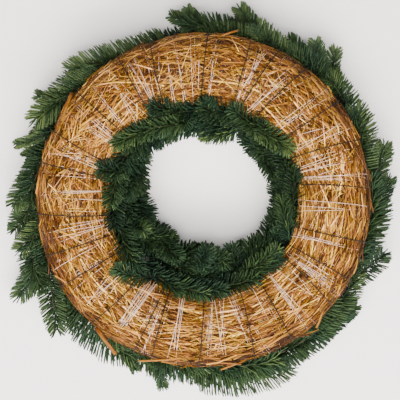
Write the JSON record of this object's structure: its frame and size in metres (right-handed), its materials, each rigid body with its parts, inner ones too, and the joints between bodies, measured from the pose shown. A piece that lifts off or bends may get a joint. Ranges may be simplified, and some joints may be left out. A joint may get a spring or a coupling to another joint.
{
  "type": "fresh evergreen wreath",
  "caption": "Fresh evergreen wreath: fir sprays bound with dark wire to the front of a thread-wound straw ring, lying face down with the straw back up and an open round hole.",
  "frame": {"origin": "on the ring's axis, at the surface that the wreath lies on", "axes": "+Z up, from the fir front that the wreath lies on to its bare straw back; +X to the right and +Y up in the picture, which looks straight down on the back"},
  "size_m": [0.4195, 0.4259, 0.0929],
  "materials": {
    "straw": "dry golden straw",
    "wire": "dark lacquered florist's wire",
    "thread": "pale thin thread with a slight sheen",
    "fir": "fresh green needles on brown-green stems"
  },
  "bodies": {
    "root": {"straw_ring": "straw", "binding_wire": "wire", "straw_thread": "thread", "outer_spray_01": "fir", "outer_spray_02": "fir", "outer_spray_03": "fir", "outer_spray_04": "fir", "outer_spray_05": "fir", "outer_spray_06": "fir", "outer_spray_07": "fir", "outer_spray_08": "fir", "outer_spray_09": "fir", "outer_spray_10": "fir", "outer_spray_11": "fir", "outer_spray_12": "fir", "outer_spray_13": "fir", "outer_spray_14": "fir", "outer_spray_15": "fir", "outer_spray_16": "fir", "outer_spray_17": "fir", "outer_spray_18": "fir", "outer_spray_19": "fir", "outer_spray_20": "fir", "outer_spray_21": "fir", "outer_spray_22": "fir", "outer_spray_23": "fir", "outer_spray_24": "fir", "front_spray_01": "fir", "front_spray_02": "fir", "front_spray_03": "fir", "front_spray_04": "fir", "front_spray_05": "fir", "front_spray_06": "fir", "front_spray_07": "fir", "front_spray_08": "fir", "front_spray_09": "fir", "front_spray_10": "fir", "front_spray_11": "fir", "front_spray_12": "fir", "inner_upper_spray_01": "fir", "inner_upper_spray_02": "fir", "inner_upper_spray_03": "fir", "inner_upper_spray_04": "fir", "inner_upper_spray_05": "fir", "inner_upper_spray_06": "fir", "inner_upper_spray_07": "fir", "inner_upper_spray_08": "fir", "inner_upper_spray_09": "fir", "inner_upper_spray_10": "fir", "inner_upper_spray_11": "fir", "inner_upper_spray_12": "fir", "inner_lower_spray_01": "fir", "inner_lower_spray_02": "fir", "inner_lower_spray_03": "fir", "inner_lower_spray_04": "fir", "inner_lower_spray_05": "fir", "inner_lower_spray_06": "fir", "inner_lower_spray_07": "fir", "inner_lower_spray_08": "fir"}
  },
  "joints": []
}
